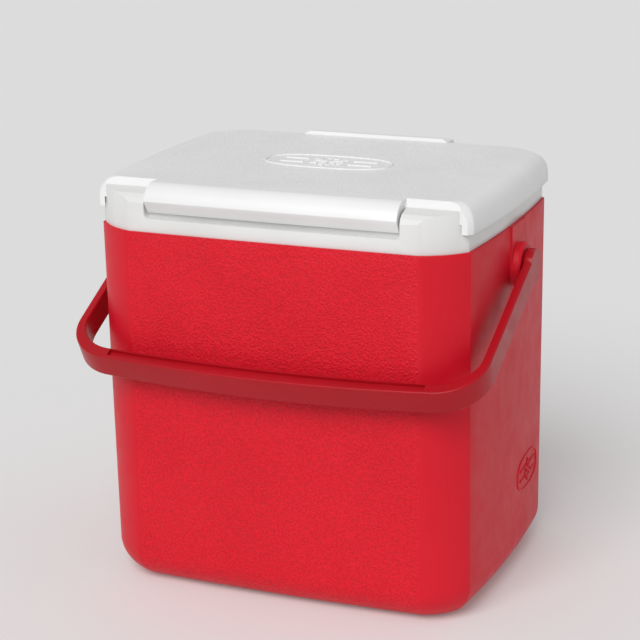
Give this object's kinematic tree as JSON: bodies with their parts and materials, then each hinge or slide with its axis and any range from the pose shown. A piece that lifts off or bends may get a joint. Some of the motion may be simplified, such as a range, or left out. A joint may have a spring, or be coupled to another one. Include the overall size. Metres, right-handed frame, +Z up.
{
  "type": "personal cooler",
  "caption": "Small insulated hard cooler with a rounded red body, a white collar, a hinged pale lid with a front lift lip, and a bail handle that swings over the lid.",
  "frame": {"origin": "on the ground plane under the middle of the whole object's box, handle and hinge included", "axes": "+Z up, -Y towards the lid's lift lip and the hanging handle, +X to the right when facing that side from the front"},
  "size_m": [0.389, 0.3073, 0.379],
  "materials": {
    "red_shell": "pebble-grained front and satin sides, moulded red plastic",
    "red_handle": "satin moulded red plastic",
    "white_liner": "smooth white moulded plastic",
    "lid_grey": "finely stippled pale plastic with smooth white lip and edges",
    "foam": "rigid insulating foam",
    "pin_steel": "plain drawn steel rod"
  },
  "bodies": {
    "body": {"outer_shell": "red_shell", "base_plug": "red_shell", "inner_liner": "white_liner", "collar": "white_liner", "body_foam": "foam", "handle_socket_left": "red_shell", "handle_socket_right": "red_shell", "hinge_pin_left": "pin_steel", "hinge_pin_right": "pin_steel"},
    "lid": {"lid_cover": "lid_grey", "lid_liner": "white_liner", "lid_foam": "foam", "lid_plug": "white_liner"},
    "handle": {"carry_handle": "red_handle"}
  },
  "joints": [
    {"name": "lid_hinge", "type": "hinge", "parent": "body", "child": "lid", "pos_m": [0, 0.14756, 0.352], "axis": [-1, 0, 0], "range_deg": [0, 100]},
    {"name": "handle_swing", "type": "hinge", "parent": "body", "child": "handle", "pos_m": [0, 0.01936, 0.2954], "axis": [-1, 0, 0], "range_deg": [0, 233.2]}
  ]
}
